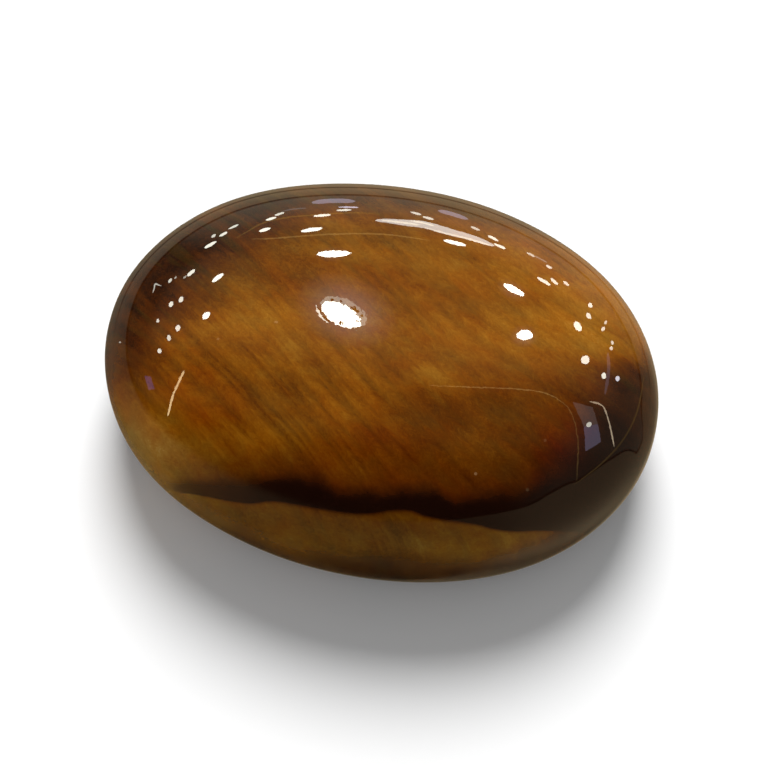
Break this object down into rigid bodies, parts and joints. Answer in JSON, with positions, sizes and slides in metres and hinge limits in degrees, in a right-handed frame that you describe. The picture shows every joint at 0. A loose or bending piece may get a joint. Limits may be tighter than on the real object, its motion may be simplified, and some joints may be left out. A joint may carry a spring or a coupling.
{
  "type": "polished tigers eye cabochon",
  "caption": "Oval high-domed cabochon of polished golden-brown tiger's eye, with a flat ground back to rest or bond on.",
  "frame": {"origin": "centre of the flat back, at the middle of the oval", "axes": "+X along the length of the oval, +Z out of the flat back and up through the dome"},
  "size_m": [0.018, 0.013, 0.0066],
  "materials": {
    "tigers_eye": "polished"
  },
  "bodies": {
    "root": {"tigers_eye_stone": "tigers_eye"}
  },
  "joints": []
}
